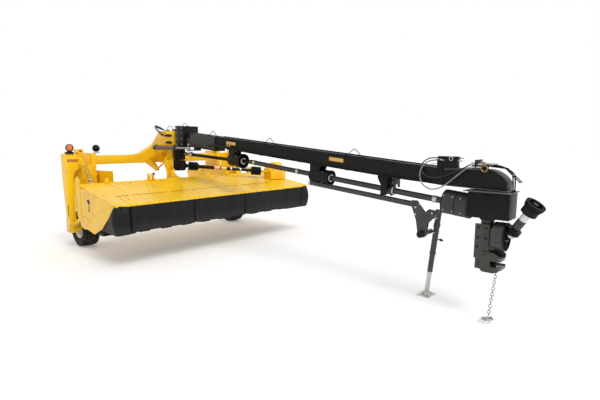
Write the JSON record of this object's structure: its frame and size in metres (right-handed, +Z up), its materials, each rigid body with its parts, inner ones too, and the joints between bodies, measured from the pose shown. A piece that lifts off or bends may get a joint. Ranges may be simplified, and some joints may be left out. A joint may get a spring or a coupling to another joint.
{
  "type": "disc mower conditioner",
  "caption": "Towed mower with a row of cutter discs under a hinged, curtained deck, twin conditioning rolls, a trailed two-wheel frame and a swinging centre tongue on a parking jack.",
  "frame": {"origin": "centre of the bounding box on the ground", "axes": "+Z up, +X the machine's left side, +Y its rear, so it is towed towards -Y"},
  "size_m": [4.898, 9.997, 2.61],
  "materials": {
    "yellow_paint": "gloss",
    "black_paint": "satin",
    "white_paint": "gloss",
    "grey_paint": "satin",
    "steel": "worn",
    "chrome_rod": "polished",
    "cast": "rough",
    "tyre": "matt",
    "rubber": "matt",
    "black_plastic": "matt"
  },
  "bodies": {
    "trail_frame": {"crossbeam": "yellow_paint", "pivot_tower": "yellow_paint", "left_leg": "yellow_paint", "right_leg": "yellow_paint", "marker_lamps": "black_plastic", "swivel_gearbox": "black_paint", "float_springs": "yellow_paint"},
    "left_wheel": {"left_tyre": "tyre", "left_rim": "white_paint"},
    "right_wheel": {"right_tyre": "tyre", "right_rim": "white_paint"},
    "tongue": {"tongue_beam": "black_paint", "upper_gearbox": "black_paint", "driveline_hangers": "black_paint", "jack_stand": "black_paint", "front_gearbox": "black_paint", "hose_rack": "black_paint", "hose_low": "rubber", "hose_high": "rubber"},
    "main_driveshaft": {"main_driveshaft": "black_paint"},
    "jack_leg": {"jack_leg": "steel"},
    "hitch": {"hitch": "black_paint", "safety_chain": "steel"},
    "pto_shaft": {"pto_shaft": "black_plastic"},
    "swing_barrel": {"swing_barrel": "black_paint"},
    "swing_rod": {"swing_rod": "chrome_rod"},
    "lower_arms": {"lower_arms": "yellow_paint"},
    "top_link": {"top_link": "yellow_paint"},
    "lift_barrels": {"lift_barrels": "yellow_paint"},
    "lift_rods": {"lift_rods": "chrome_rod"},
    "header": {"header_frame": "yellow_paint", "header_deck": "yellow_paint", "left_header_end": "yellow_paint", "right_header_end": "yellow_paint", "cutterbar": "cast", "header_gearbox": "yellow_paint", "end_curtains": "rubber"},
    "cover_1": {"front_cover_1": "yellow_paint", "front_curtain_1": "rubber"},
    "cover_2": {"front_cover_2": "yellow_paint", "front_curtain_2": "rubber"},
    "cover_3": {"front_cover_3": "yellow_paint", "front_curtain_3": "rubber"},
    "upper_roll": {"upper_roll": "rubber"},
    "lower_roll": {"lower_roll": "rubber"},
    "left_windrow_shield": {"left_windrow_shield": "yellow_paint"},
    "right_windrow_shield": {"right_windrow_shield": "yellow_paint"},
    "swathboard": {"swathboard": "yellow_paint"},
    "drive_outer": {"drive_outer": "black_plastic"},
    "drive_inner": {"drive_inner": "black_plastic"},
    "cutter_disc_01": {"cutter_disc_01": "steel"},
    "cutter_disc_02": {"cutter_disc_02": "steel"},
    "cutter_disc_03": {"cutter_disc_03": "steel"},
    "cutter_disc_04": {"cutter_disc_04": "steel"},
    "cutter_disc_05": {"cutter_disc_05": "steel"},
    "cutter_disc_06": {"cutter_disc_06": "steel"},
    "cutter_disc_07": {"cutter_disc_07": "steel"},
    "cutter_disc_08": {"cutter_disc_08": "steel"},
    "cutter_disc_09": {"cutter_disc_09": "steel"},
    "cutter_disc_10": {"cutter_disc_10": "steel"}
  },
  "joints": [
    {"name": "left_wheel_spin", "type": "hinge", "parent": "trail_frame", "child": "left_wheel", "pos_m": [2.022, 3.4185, 0.3935], "axis": [1, 0, 0], "continuous": true},
    {"name": "right_wheel_spin", "type": "hinge", "parent": "trail_frame", "child": "right_wheel", "pos_m": [-2.022, 3.4185, 0.3935], "axis": [1, 0, 0], "continuous": true},
    {"name": "tongue_swing", "type": "hinge", "parent": "trail_frame", "child": "tongue", "pos_m": [0, 2.8185, 2.3], "axis": [0, 0, 1], "range_deg": [-25, 25]},
    {"name": "swing_barrel_turn", "type": "hinge", "parent": "trail_frame", "child": "swing_barrel", "pos_m": [-0.43, 3.2035, 2.12], "axis": [0, 0, 1], "range_deg": [-17.65, 17.65]},
    {"name": "swing_rod_slide", "type": "slide", "parent": "swing_barrel", "child": "swing_rod", "axis": [0.0732, -0.9973, 0], "range_m": [-0.17489, 0.17489]},
    {"name": "header_lift", "type": "hinge", "parent": "trail_frame", "child": "lower_arms", "pos_m": [0, 3.3235, 0.52], "axis": [1, 0, 0], "range_deg": [0, 52.15], "deforming": ["float_springs"]},
    {"name": "header_level", "type": "hinge", "parent": "lower_arms", "child": "header", "pos_m": [0, 2.8535, 0.75], "axis": [1, 0, 0], "range_deg": [-52.65, 0.5]},
    {"name": "top_link_turn", "type": "hinge", "parent": "trail_frame", "child": "top_link", "pos_m": [-0.35, 3.2685, 1.6], "axis": [1, 0, 0], "range_deg": [-0.5, 52.65]},
    {"name": "lift_barrel_turn", "type": "hinge", "parent": "trail_frame", "child": "lift_barrels", "pos_m": [0, 3.3185, 1.64], "axis": [1, 0, 0], "range_deg": [-0.5, 16.02]},
    {"name": "lift_rod_slide", "type": "slide", "parent": "lift_barrels", "child": "lift_rods", "axis": [0, -0.6814, -0.7319], "range_m": [-0.002, 0.38137]},
    {"name": "header_drive_turn", "type": "hinge", "parent": "trail_frame", "child": "drive_outer", "pos_m": [0.2, 2.7685, 1.68], "axis": [0.5004, 0.8658, 0], "range_deg": [-0.5, 14.58]},
    {"name": "header_drive_slide", "type": "slide", "parent": "drive_outer", "child": "drive_inner", "axis": [0.8623, -0.4984, -0.0896], "range_m": [-0.002, 0.09978]},
    {"name": "lower_roll_spin", "type": "hinge", "parent": "header", "child": "lower_roll", "pos_m": [0, 2.2685, 0.85], "axis": [1, 0, 0], "continuous": true},
    {"name": "upper_roll_spin", "type": "hinge", "parent": "header", "child": "upper_roll", "pos_m": [0, 2.2685, 1.1], "axis": [1, 0, 0], "continuous": true},
    {"name": "main_driveshaft_spin", "type": "hinge", "parent": "tongue", "child": "main_driveshaft", "pos_m": [0, 0.2485, 1.87], "axis": [0, -0.9953, -0.0973], "continuous": true},
    {"name": "cutter_disc_01_spin", "type": "hinge", "parent": "header", "child": "cutter_disc_01", "pos_m": [-2.115, 1.6185, 0.65], "axis": [0, 0, 1], "continuous": true},
    {"name": "cutter_disc_02_spin", "type": "hinge", "parent": "header", "child": "cutter_disc_02", "pos_m": [-1.645, 1.6185, 0.65], "axis": [0, 0, 1], "continuous": true},
    {"name": "cutter_disc_03_spin", "type": "hinge", "parent": "header", "child": "cutter_disc_03", "pos_m": [-1.175, 1.6185, 0.65], "axis": [0, 0, 1], "continuous": true},
    {"name": "cutter_disc_04_spin", "type": "hinge", "parent": "header", "child": "cutter_disc_04", "pos_m": [-0.705, 1.6185, 0.65], "axis": [0, 0, 1], "continuous": true},
    {"name": "cutter_disc_05_spin", "type": "hinge", "parent": "header", "child": "cutter_disc_05", "pos_m": [-0.235, 1.6185, 0.65], "axis": [0, 0, 1], "continuous": true},
    {"name": "cutter_disc_06_spin", "type": "hinge", "parent": "header", "child": "cutter_disc_06", "pos_m": [0.235, 1.6185, 0.65], "axis": [0, 0, 1], "continuous": true},
    {"name": "cutter_disc_07_spin", "type": "hinge", "parent": "header", "child": "cutter_disc_07", "pos_m": [0.705, 1.6185, 0.65], "axis": [0, 0, 1], "continuous": true},
    {"name": "cutter_disc_08_spin", "type": "hinge", "parent": "header", "child": "cutter_disc_08", "pos_m": [1.175, 1.6185, 0.65], "axis": [0, 0, 1], "continuous": true},
    {"name": "cutter_disc_09_spin", "type": "hinge", "parent": "header", "child": "cutter_disc_09", "pos_m": [1.645, 1.6185, 0.65], "axis": [0, 0, 1], "continuous": true},
    {"name": "cutter_disc_10_spin", "type": "hinge", "parent": "header", "child": "cutter_disc_10", "pos_m": [2.115, 1.6185, 0.65], "axis": [0, 0, 1], "continuous": true},
    {"name": "cover_1_lift", "type": "hinge", "parent": "header", "child": "cover_1", "pos_m": [-1.533, 1.4685, 1.2751], "axis": [-1, 0, 0], "range_deg": [0, 70]},
    {"name": "cover_2_lift", "type": "hinge", "parent": "header", "child": "cover_2", "pos_m": [-0.235, 1.4685, 1.2751], "axis": [-1, 0, 0], "range_deg": [0, 70]},
    {"name": "cover_3_lift", "type": "hinge", "parent": "header", "child": "cover_3", "pos_m": [1.063, 1.4685, 1.2751], "axis": [-1, 0, 0], "range_deg": [0, 70]},
    {"name": "left_windrow_shield_swing", "type": "hinge", "parent": "trail_frame", "child": "left_windrow_shield", "pos_m": [1.63, 4.1485, 1.29], "axis": [0, 0, 1], "range_deg": [-15, 20]},
    {"name": "right_windrow_shield_swing", "type": "hinge", "parent": "trail_frame", "child": "right_windrow_shield", "pos_m": [-1.63, 4.1485, 1.29], "axis": [0, 0, -1], "range_deg": [-15, 20]},
    {"name": "swathboard_tilt", "type": "hinge", "parent": "header", "child": "swathboard", "pos_m": [0, 2.7985, 1.095], "axis": [1, 0, 0], "range_deg": [-15, 25]},
    {"name": "hitch_swivel", "type": "hinge", "parent": "tongue", "child": "hitch", "pos_m": [0, -4.3515, 1.2], "axis": [0, 0, 1], "range_deg": [-60, 60]},
    {"name": "pto_tilt", "type": "hinge", "parent": "hitch", "child": "pto_shaft", "pos_m": [-0.03, -4.61643, 1.105], "axis": [1, 0, 0], "range_deg": [0, 56]},
    {"name": "jack_slide", "type": "slide", "parent": "tongue", "child": "jack_leg", "axis": [0, -0.1079, 0.9942], "range_m": [0, 0.35]}
  ],
  "couplings": [
    {"joint": "swing_barrel_turn", "follows": "tongue_swing", "ratio": 0.68604},
    {"joint": "swing_rod_slide", "follows": "tongue_swing", "m_per_rad": 0.39622},
    {"joint": "header_level", "follows": "header_lift", "ratio": -1},
    {"joint": "top_link_turn", "follows": "header_lift", "ratio": 1},
    {"joint": "lift_barrel_turn", "follows": "header_lift", "ratio": 0.2975},
    {"joint": "lift_rod_slide", "follows": "header_lift", "m_per_rad": 0.4168},
    {"joint": "header_drive_turn", "follows": "header_lift", "ratio": 0.26993},
    {"joint": "header_drive_slide", "follows": "header_lift", "m_per_rad": 0.10743},
    {"joint": "upper_roll_spin", "follows": "lower_roll_spin", "ratio": -1},
    {"joint": "main_driveshaft_spin", "follows": "lower_roll_spin", "ratio": 1},
    {"joint": "cutter_disc_01_spin", "follows": "lower_roll_spin", "ratio": 3},
    {"joint": "cutter_disc_02_spin", "follows": "lower_roll_spin", "ratio": -3},
    {"joint": "cutter_disc_03_spin", "follows": "lower_roll_spin", "ratio": 3},
    {"joint": "cutter_disc_04_spin", "follows": "lower_roll_spin", "ratio": -3},
    {"joint": "cutter_disc_05_spin", "follows": "lower_roll_spin", "ratio": 3},
    {"joint": "cutter_disc_06_spin", "follows": "lower_roll_spin", "ratio": -3},
    {"joint": "cutter_disc_07_spin", "follows": "lower_roll_spin", "ratio": 3},
    {"joint": "cutter_disc_08_spin", "follows": "lower_roll_spin", "ratio": -3},
    {"joint": "cutter_disc_09_spin", "follows": "lower_roll_spin", "ratio": 3},
    {"joint": "cutter_disc_10_spin", "follows": "lower_roll_spin", "ratio": -3}
  ]
}
